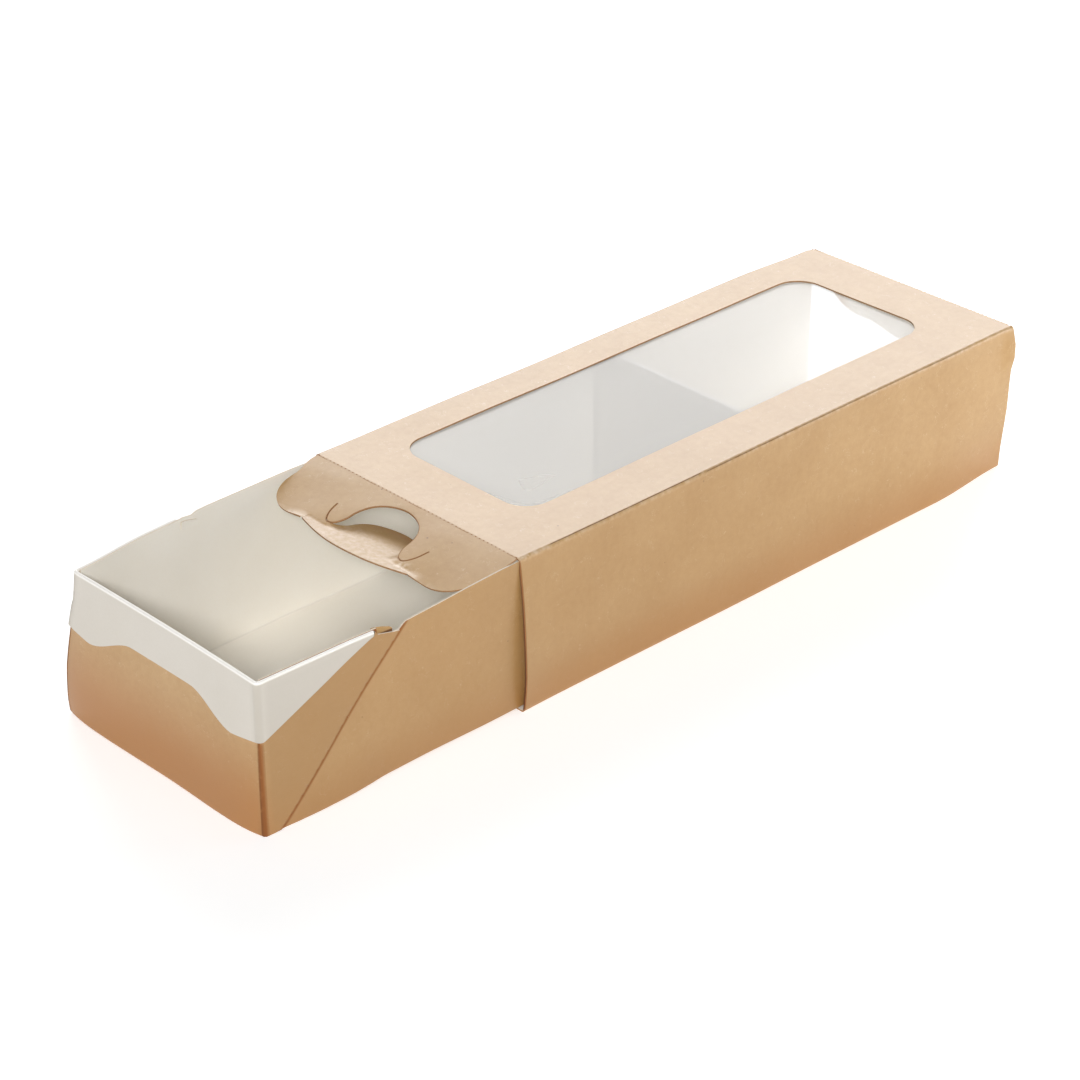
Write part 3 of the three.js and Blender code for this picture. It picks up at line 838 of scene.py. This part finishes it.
endFront = 2 * (trayLook["face"] + endLook["webOut"] - endLook["cornerRadius"])
endQuarter = endLook["cornerRadius"] * math.pi / 2
endWeb = endLook["webTip"] - endLook["wallInset"] - endLook["cornerRadius"]
endAt, endGirth = foldPath(
    (-trayLook["face"] - endLook["webOut"], endLook["webTip"]), -90,
    [(endWeb, 0), (endQuarter, 90), (endFront, 0), (endQuarter, 90), (endWeb, 0)],
)


def rimDepthAt(x):
    look = endLook
    across = np.abs(x)
    shelf = (across - look["rimShelfHalf"]) / (look["rimLobeAt"] - look["rimShelfHalf"])
    beyond = np.clip((across - look["rimLobeAt"]) / (trayLook["face"] - look["rimLobeAt"]), 0, 1)
    depth = mix(look["rimMiddle"], look["rimLobe"], ease(shelf))
    return np.where(across < look["rimLobeAt"], depth, mix(look["rimLobe"], look["rimCorner"], beyond))


def endStrip(u):  # plan place along the strip from web tip to web tip, u = 0 at the middle of the wall
    return endAt(u + endGirth / 2)


def webInset(u):  # how far along a web, from the corner
    beyond = np.maximum(np.abs(u) - endFront / 2 - endQuarter, -1)
    return beyond + endLook["wallInset"] + endLook["cornerRadius"]


def ridgeHeight(u):
    return foldTop(np.maximum(webInset(u) - 1.5, 0), u)


def turnHeight(u):  # where on the sheet the rim starts to turn out
    return ridgeHeight(u) - trayLook["floor"] - endLook["foldRadius"] - endLook["thickness"]


def endFold(end):
    look, tray = endLook, trayLook

    def fold(u, v):  # v is the height on the sheet, and goes on past the ridge down the turned-out rim
        x, inset, outX, outInset = endStrip(u)
        outX, outInset = -outX, -outInset
        folded = look["foldRadius"]
        turnAt = turnHeight(u)
        over = np.clip((v - turnAt) / folded, 0, math.pi)
        down = np.maximum(v - turnAt - math.pi * folded, 0)
        height = tray["floor"] + np.minimum(v, turnAt) + folded * np.sin(over) - down
        out = folded * (1 - np.cos(over))
        foot = look["footRadius"]
        under = np.maximum((foot - v) / foot, 0)
        bend = np.minimum(under, math.pi / 2)
        beyond = np.maximum(under - math.pi / 2, 0) * foot
        height = np.where(v < foot, tray["floor"] + foot - foot * np.sin(bend), height)
        out = np.where(v < foot, -foot * (1 - np.cos(bend)) - beyond, out)
        webHere = webInset(u)
        aboveEdge = (tray["floor"] + v - (webHere - look["webStart"])) * math.sqrt(0.5)
        onWeb = ease((webHere - 2) / 1.5)
        near = np.clip(1 - aboveEdge / look["webEdgeRadius"], 0, 1)
        curl = look["webEdgeRadius"] * (1 - np.sqrt(1 - near ** 2 * 0.75))
        out = out - curl * onWeb * (down <= 0)
        x = x + outX * out
        inset = inset + outInset * out
        bow = faceX(inset) / tray["face"]
        x = x * mix(1, bow, ease((np.abs(x) - 30) / 3))
        y = tray["front"] + inset if end < 0 else tray["front"] + tray["length"] - inset
        return relaxTray(x, y, height)

    return fold


def buildTrayEnd(name, end):
    look, tray = endLook, trayLook
    folded = look["foldRadius"]
    halfU = endGirth / 2
    cornerU = endFront / 2 + endQuarter / 2
    half = list(np.linspace(0, endFront / 2 - 0.4, 30))
    half += creaseRows(cornerU, endQuarter / 2, 9)
    half += list(np.linspace(endFront / 2 + endQuarter + 0.4, halfU, 26))
    us = np.array(sorted({round(s * u, 5) for u in half for s in (-1, 1)}))

    def lowerEdge(u):
        inset = webInset(u)
        foot = look["footRadius"] * (1 - math.pi / 2) - look["footLip"]
        onFront = np.abs(u) < endFront / 2
        web = np.maximum(inset - look["webStart"] - tray["floor"], look["footRadius"] * 0.35)
        return np.where(onFront, foot, web)

    def upperEdge(u):
        ridge = ridgeHeight(u)
        inset = webInset(u)
        x = np.minimum(np.abs(u), tray["face"])
        cornerLow = tray["rim"] - look["rimCorner"]
        along = np.clip((inset - 1.3) / (look["wingTipStart"] - 1.3), 0, 1)
        wingLow = mix(cornerLow, look["wingTipLow"], along)
        cut = (inset - look["wingTipStart"]) / (tray["wingReach"] - look["wingTipStart"])
        wingLow = mix(wingLow, ridge - 0.6, np.clip(cut, 0, 1))
        depth = np.where(np.abs(u) < tray["face"], rimDepthAt(x), ridge - wingLow)
        rim = turnHeight(u) + math.pi * folded + depth - folded - look["thickness"]
        tip = mix(look["wingTipLow"], look["webTipTop"], np.clip((inset - tray["wingReach"]) / 5.4, 0, 1))
        return np.where(inset <= tray["wingReach"], rim, tip - tray["floor"])

    tipUs = us[(webInset(us) > tray["wingReach"] - 0.6) & (webInset(us) < tray["wingReach"] + 0.6)]
    edgeUs = np.setdiff1d(us, tipUs)
    reach = tray["wingReach"] - look["wallInset"] - look["cornerRadius"] + endFront / 2 + endQuarter
    extraUs = [s * (reach + d) for s in (-1, 1) for d in (0, 0.02)]
    frontEdge = [s * (endFront / 2 + d) for s in (-1, 1) for d in (-0.001, 0.001)]
    edgeUs = np.array(sorted(list(edgeUs) + extraUs + frontEdge))
    low = np.column_stack([edgeUs, lowerEdge(edgeUs)])
    high = np.column_stack([edgeUs, upperEdge(edgeUs)])[::-1]
    outline = densify(np.vstack([low, high]), 2.5)

    rows = [-1.0, -0.75, -0.514, -0.35, -0.15, 0.05, 0.25, 0.45, 0.7, 0.9, 1.4] + list(np.linspace(3, 36, 18))
    extra = []
    for u in us:
        turn = float(turnHeight(np.array([u]))[0])
        extra += [(u, turn + math.pi * folded * part) for part in np.linspace(0, 1, 9)]
        extra += [(u, turn - 0.4), (u, turn + math.pi * folded + 0.4)]
        extra += [(u, turn + math.pi * folded + d) for d in (2, 4.5, 7, 9.5, 12)]
        inset = float(webInset(np.array([u]))[0])
        if inset > 2:
            edge = inset - look["webStart"] - tray["floor"]
            extra += [(u, edge + d) for d in (0.07, 0.16, 0.28, 0.42, 0.56, 0.75)]

    def belowRim(v):
        return ease((tray["rim"] - look["rimCorner"] - v) / 0.5)

    def darkLineAndShadow(u, v):  # a painted shadow line along the web's edge, and the strained board beside the upright crease
        inset = webInset(u)
        edge = 1 - (tray["floor"] + v - (inset - look["webStart"])) * math.sqrt(0.5) / look["lineWidth"]
        upright = 0.85 - np.abs(np.abs(u) - cornerU - 0.1) / 1.4
        return np.where(inset > 2.5, edge, np.maximum(upright, 0) * belowRim(v))

    def scoreAndShadowLine(u, v):  # the upright crease below the rim, wider towards its foot
        upright = 1.2 - np.abs(np.abs(u) - cornerU + 0.25) / mix(0.65, 0.28, v / 24)
        return np.maximum(upright, 0) * belowRim(v)

    def paintedHighlight(u, v):  # painted highlight on the rim's folded top
        over = v - turnHeight(u)
        return ease((over + 0.05) / 0.1) * ease((math.pi * folded + 0.1 - over) / 0.12)

    def creaseAndPaintedShade(u, v):  # the rim's darker corner crease, and painted shade on its wings
        marked = np.maximum(0.8 * bell(np.abs(u) - cornerU, 0.75), 0.5 * ease((np.abs(u) - cornerU) / 1.5))
        return marked * ease((v - turnHeight(u) - math.pi * folded) / 0.5)

    # painted shade on the webs
    def paintedShade(u, v):
        return 0.75 * ease((np.abs(u) - cornerU) / 1.5)

    # painted shade, browner low on the front
    def paintedWarmShade(u, v):
        across = ease((endFront / 2 + 4 - np.abs(u)) / 6)
        return mix(0.4, 0.95, across) * ease((mix(15, 28, across) - v) / 23)

    sheet = cutSheet([outline], insideOf(outline), us, rows, 0.03, np.array(extra))
    marks = {"darkLineAndShadow": darkLineAndShadow, "scoreAndShadowLine": scoreAndShadowLine, "paintedWarmShade": paintedWarmShade, "paintedHighlight": paintedHighlight,
             "creaseAndPaintedShade": creaseAndPaintedShade, "paintedShade": paintedShade}
    piece = boardPiece(name, sheet, endFold(end), look["thickness"], endFinishes, end * -1, marks)
    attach(piece, "tray")


buildTrayEnd("tray_end_near", -1)
buildTrayEnd("tray_end_far", 1)

tabLook = {
    "shape": ((32.4, 36.4), (37.4, 35.8), (37.6, 37), (37, 37.5), (34.9, 38.1), (33.2, 38.4), (32.4, 38.4)),
    "inset": 0.25, "lean": 0.9, "thickness": 0.3,
}


def buildLockTab(name, end, side):  # the tip of a web's inner layer, left standing in the notch
    look, tray = tabLook, trayLook
    outline = densify(look["shape"], 0.4)

    def fold(u, v):
        x = side * (tray["face"] - look["inset"] - look["lean"] * ease((v - 36.7) / 2) * max(side, 0.2))
        y = tray["front"] + u if end < 0 else tray["front"] + tray["length"] - u
        return relaxTray(x, y, v)

    # a painted shadow line along the tab's lower edge
    def scoreAndShadowLine(u, v):
        return 1.2 - (v - 36.5) / 0.5

    us, vs = np.linspace(32.4, 37.6, 15), np.linspace(35.8, 38.4, 9)
    sheet = cutSheet([outline], insideOf(outline), us, vs, 0.1)
    finishes = boardFinishes if side > 0 else trayFinishes
    marks = {"scoreAndShadowLine": scoreAndShadowLine} if side > 0 else None
    piece = boardPiece(name, sheet, fold, look["thickness"], finishes, -end * side, marks)
    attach(piece, "tray")


for end, endName in ((-1, "near"), (1, "far")):
    for side, sideName in ((-1, "left"), (1, "right")):
        buildLockTab(f"tray_lock_tab_{endName}_{sideName}", end, side)
print("tray made")


# Flaps

flapLook = {
    "length": 19.2, "half": 33.1, "shoulderHalf": 34.8, "shoulderEnd": 3.6, "shoulderRun": 4.4, "wing": 9,
    "rightSpare": 0.9,
    "front": (9, 5), "rear": (4, 16.8), "rearTilt": 62, "thickness": 0.4,
    "tongueLength": 22.7, "crease": 18, "tongueHalf": 18.2, "bend": 23, "rounding": 1.2,
    "neck": 12.6, "neckTwist": 3.5, "headCurl": 0.35,
    "shift": -0.3, "rearShoulder": 34, "rearRight": 0.96, "rearLeft": 0.955,
    "slit": 0.16, "slitShift": 0.35, "wave": 0.07,
    "slitHalf": ((15.9, 10.4), (15, 13.8), (13.2, 16.2), (11.1, 15.7), (9.8, 13.2), (9.5, 10.4), (8.9, 8.3),
                 (7.7, 6.3), (5.7, 4.6), (3, 3.4)),
    "slitTop": 2.95,
}


def hangAt(down, bend):  # how far out and how far below its hinge a flap has got
    start, curl = np.radians(bend)
    rate = curl / flapLook["tongueLength"]
    slope = start + rate * np.maximum(down, 0)
    out = (np.sin(slope) - np.sin(start)) / rate + np.minimum(down, 0)
    return out, (np.cos(start) - np.cos(slope)) / rate


def flapOutline(withTongue, shoulder, rightSpare):
    look = flapLook
    strip, hinge = sleeveLook["hingeStrip"], sleeveLook["hingeHalf"]
    narrow = look["shoulderEnd"] + look["shoulderRun"]
    pull = 0.6 * look["shoulderRun"]
    sides = []
    for half in (look["half"], look["half"] + rightSpare):
        line = [(hinge, -strip)]
        line += curvePoints((hinge, 0), (shoulder + 0.4, look["shoulderEnd"]), (half, narrow - pull),
                            (half, narrow), 14)
        line += arcPoints((half - look["wing"], look["length"] - look["wing"]), look["wing"], 0, 90)
        sides.append(line + [(look["tongueHalf"], look["length"])])
    left, right = [(-x, y) for x, y in sides[0]], sides[1][::-1]
    middle = []
    if withTongue:
        tip = 2 * look["tongueLength"] - look["length"]
        base, half = look["length"], look["tongueHalf"]
        middle = [(mix(-half, half, p), base * (1 - p) ** 2 + 2 * tip * p * (1 - p) + base * p ** 2)
                  for p in np.linspace(0, 1, 24)[1:-1]]
    return densify(left + middle + right, 0.7)


def omegaLine():  # from the left foot, over the head of the tongue, to the right foot
    look = flapLook
    half = list(look["slitHalf"])
    line = splinePoints([(-x, y) for x, y in half] + [(0, look["slitTop"])] + half[::-1], 6)
    return line + (look["slitShift"], 0)


def slitLoop():
    line, width = omegaLine(), flapLook["slit"] / 2
    return np.vstack([beside(line, width), beside(line, -width)[::-1]])


def tongueLoop():  # the tongue on the flat sheet, from just before its crease
    look = flapLook
    line = omegaLine()
    head = line[np.abs(line[:, 0] - look["slitShift"]) < look["neck"] - 0.1]
    root, beyond = look["crease"] - look["rounding"], 2 * look["tongueLength"]
    neck, wide = look["neck"], look["tongueHalf"]
    start = [(-wide, root), (-neck, root)]
    end = [(neck, root), (wide, root), (wide, beyond), (-wide, beyond)]
    return densify(np.vstack([start, head, end]), 0.7)


def flapSheet(withTongue, shoulder, rightSpare):
    look = flapLook
    outline, slit, tongue = flapOutline(withTongue, shoulder, rightSpare), slitLoop(), tongueLoop()
    loops = [outline, slit] if withTongue else [outline, slit, tongue]

    def keep(points):
        kept = insideLoop(points, outline) & ~insideLoop(points, slit)
        return kept if withTongue else kept & ~insideLoop(points, tongue)

    us = np.linspace(-34, 34, 52)
    vs = [-0.25, -0.12, -0.06, 0, 0.06, 0.12, 0.18, 0.25, 0.4, 0.7]
    vs += list(np.linspace(1.4, look["tongueLength"], 18))
    beyond = look["slit"] / 2 + 0.25
    besideSlit = np.vstack([beside(omegaLine(), beyond), beside(omegaLine(), -beyond)])
    return cutSheet(loops, keep, us, vs, 0.12, besideSlit)


def frontFold(u, v):
    look = flapLook
    flat = onSheet(u, v)
    lift = waves(flat, 24, look["wave"], 31) * ease(v / 5)
    beyond = np.maximum(v - look["crease"], 0) * math.tan(math.radians(look["bend"]))
    aside = np.abs(u) - look["tongueHalf"]
    lift = lift + beyond * (1 - ease(aside / 6)) * (aside >= 0)
    out, drop = hangAt(v, look["front"])
    return np.column_stack([u + look["shift"], -out, sleeveSize["height"] - drop + lift])


def rearFold(u, v):
    look = flapLook
    turn = math.radians(look["rearTilt"] - look["rear"][0])
    flat = onSheet(u, v)
    lift = waves(flat, 26, look["wave"], 37) * ease(v / 5)
    out, down = hangAt(v, look["rear"])
    down = down - lift
    bent = ease((v + 0.12) / 0.3) * turn
    y = out * np.cos(bent) - down * np.sin(bent)
    z = out * np.sin(bent) + down * np.cos(bent)
    x = u * np.where(u > 0, look["rearRight"], look["rearLeft"])
    z = sleeveSize["height"] - z + topRise(x, sleeveSize["length"])
    x, y = roundFarCorner(x, sleeveSize["length"] + y, z)
    return np.column_stack([x, y, z])


def flapScore(u, v):  # the hinge's line
    return 0.45 - np.abs(v) / 0.4


def slitLine(u, v):  # the browned cut round the tongue, and beside the hinge's line
    slit = gapToLoops(np.column_stack([u, v]), [slitLoop()])
    return np.maximum(0.75 - slit / 0.35, 1 - np.abs(v) / 0.3)


def tornNeck(u, v):  # bare torn board at the right of the tongue's neck
    look = flapLook
    return 0.9 * bell(np.hypot(u - look["neck"] - 1.8, v - look["crease"] + 0.3), 1.6)


def tornNeckAndPaintedLight(u, v):  # bare torn board at the right of the tongue's neck, and painted light that makes the tongue paler than the flap
    return np.maximum(tornNeck(u, v), 0.25 * ease((v - 9) / 4))


def flapRub(u, v):  # worn along the free edge, torn at the right of the tongue's neck
    return np.maximum(0.3 * bell(v - flapLook["length"], 0.8), tornNeck(u, v))


def rearBare(u, v):  # the white coating stops short of the rear flap's wings
    return ease((np.abs(u) - 26) / 3)


def buildFlaps():
    look, size = flapLook, sleeveSize
    frontMarks, rearMarks = {"scoreAndShadowLine": flapScore, "darkLineAndShadow": slitLine, "wearAndPaintedLight": flapRub}, {"bare": rearBare}
    sheet = flapSheet(False, look["shoulderHalf"], look["rightSpare"])
    front = boardPiece("front_flap_board", sheet, frontFold, look["thickness"], boardFinishes, -1, frontMarks)
    sheet = flapSheet(True, look["rearShoulder"], 0)
    rear = boardPiece("rear_flap_board", sheet, rearFold, look["thickness"], boardFinishes, 1, rearMarks)
    for piece, node, y, way in ((front, "front_flap", 0, -1), (rear, "rear_flap", size["length"], 1)):
        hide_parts(node)
        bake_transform(piece)


def tongueFold(u, v):
    look = flapLook
    down = look["crease"]
    pivotY, pivotZ = hangAt(down, look["front"])
    pivotY, pivotZ = -pivotY, sleeveSize["height"] - pivotZ
    flat = onSheet(u, v)
    lift = waves(flat, 24, look["wave"], 31) * ease(v / 5)
    curl = look["headCurl"] * ease((9.5 - v) / 7) ** 2
    out, drop = hangAt(v, look["front"])
    y, z = -out - pivotY, sleeveSize["height"] - drop + lift - curl - pivotZ
    rounding = look["rounding"]
    beyond = np.clip((v - down + rounding * 0.8) / (rounding * 1.6), 0, 1)
    turned = mix(beyond, 1, ease((look["neck"] - np.abs(u)) / look["neckTwist"]))
    bend = -math.radians(look["bend"]) * turned
    turnedY = y * np.cos(bend) - z * np.sin(bend)
    turnedZ = y * np.sin(bend) + z * np.cos(bend)
    return np.column_stack([u + look["shift"], pivotY + turnedY, pivotZ + turnedZ])


def paintedTongueHeadShade(u, v):  # painted shade along the rim of the tongue's head, which curls down into the tray
    look = flapLook
    rim = bell(np.hypot((u - look["slitShift"]) / 1.25, v - 12.3) - 8.6, 1.7)
    return 0.85 * rim * ease((10 - v) / 4) * mix(0.55, 1, ease((u + 4) / 10))


def buildTongue():
    look = flapLook
    outline, region = flapOutline(True, look["shoulderHalf"], look["rightSpare"]), tongueLoop()

    def keep(points):
        return insideLoop(points, outline) & insideLoop(points, region)

    us = np.linspace(-18, 18, 44)
    vs = [3.5, 4, 4.6, 5.3, *range(6, 16), *np.linspace(16.1, 19.9, 15), 20.5, 21.5, 22.3]
    sheet = cutSheet([outline, region], keep, us, vs, 0.12)
    marks = {"paintedWarmShade": paintedTongueHeadShade, "wearAndPaintedLight": tornNeckAndPaintedLight, "darkLineAndShadow": slitLine}
    piece = boardPiece("tongue_board", sheet, tongueFold, look["thickness"], boardFinishes, -1, marks)
    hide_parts("front_tongue")
    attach(piece, "front_tongue")


buildFlaps()
buildTongue()
print("flaps made")


# Floor, lights and camera

studio = {
    "azimuth": 46.888, "elevation": 29.181, "roll": -0.335, "distance": 857.8,
    "target": (5.48, 33.91, 20), "focalPixels": 3613.2, "framePixels": 1080, "sensor": 36,
    "floorSize": 8, "floorWhite": 0.9, "floorGlow": 0.42, "air": 0.22,
}
softboxes = {  # aim, azimuth, elevation, distance, width and height in metres, power in watts, spread
    "front_softbox": ((5, 34, 20), 46, 29.3, 2.2, (0.3, 0.3), 27, 180),
    "upper_softbox": ((0, 0, 20), 46, 58, 2.2, (0.5, 0.5), 3, 180),
    "back_softbox": ((0, 34, 20), 226.9, 28, 2, (1.7, 0.8), 29, 180),
    "hollow_softbox": ((6, -16, 32), 45, 30, 0.6, (0.05, 0.05), 0.0009, 9),
    "far_softbox": ((0, 150, 15), 135, 14, 0.3, (0.15, 0.15), 0.07, 80),
}


def towards(azimuth, elevation):
    a, e = math.radians(azimuth), math.radians(elevation)
    return Vector((math.sin(a) * math.cos(e), -math.cos(a) * math.cos(e), math.sin(e)))


def buildFloor():
    finish = Finish("pale_floor")
    white = (studio["floorWhite"],) * 3 + (1,)
    sockets = {"Base Color": white, "Roughness": 0.9, "Specular IOR Level": 0.1,
               "Emission Color": (1, 1, 1, 1), "Emission Strength": studio["floorGlow"]}
    shader = finish.node("ShaderNodeBsdfPrincipled", {}, sockets)
    half = studio["floorSize"] / 2
    mesh = bpy.data.meshes.new("floor")
    corners = [(-half, -half, 0), (half, -half, 0), (half, half, 0), (-half, half, 0)]
    mesh.from_pydata(corners, [], [(0, 1, 2, 3)])
    mesh.materials.append(finish.surface(shader))
    floor = bpy.data.objects.new("floor", mesh)
    bpy.context.scene.collection.objects.link(floor)


def addSoftbox(name, aim, azimuth, elevation, distance, size, power, spread):
    light = bpy.data.lights.new(name, "AREA")
    light.shape = "RECTANGLE"
    light.size, light.size_y = size
    light.energy = power
    light.spread = math.radians(spread)
    lamp = bpy.data.objects.new(name, light)
    way = towards(azimuth, elevation)
    lamp.location = Vector(toFrame([aim])[0]) + way * distance
    lamp.rotation_euler = way.to_track_quat("Z", "Y").to_euler()
    bpy.context.scene.collection.objects.link(lamp)


def buildLights():
    world = bpy.data.worlds.new("studio_air")
    world.use_nodes = True
    world.node_tree.nodes["Background"].inputs["Color"].default_value = (1, 1, 1, 1)
    world.node_tree.nodes["Background"].inputs["Strength"].default_value = studio["air"]
    bpy.context.scene.world = world
    for name, settings in softboxes.items():
        addSoftbox(name, *settings)
    bpy.context.scene.view_settings.view_transform = "Standard"


def buildCamera():
    back = towards(studio["azimuth"], studio["elevation"])
    target = Vector(toFrame([studio["target"]])[0])
    right = (-back).cross(Vector((0, 0, 1))).normalized()
    up = right.cross(-back)
    roll = math.radians(studio["roll"])
    levelRight = right * math.cos(roll) + up * math.sin(roll)
    levelUp = up * math.cos(roll) - right * math.sin(roll)
    data = bpy.data.cameras.new("camera")
    data.sensor_width = studio["sensor"]
    data.lens = studio["focalPixels"] / studio["framePixels"] * studio["sensor"]
    data.clip_end = 20
    camera = bpy.data.objects.new("camera", data)
    turn = Matrix((levelRight, levelUp, back)).transposed()
    camera.matrix_world = Matrix.Translation(target + back * studio["distance"] * mm) @ turn.to_4x4()
    bpy.context.scene.collection.objects.link(camera)
    bpy.context.scene.camera = camera


buildFloor()
buildLights()
buildCamera()
print("studio made")
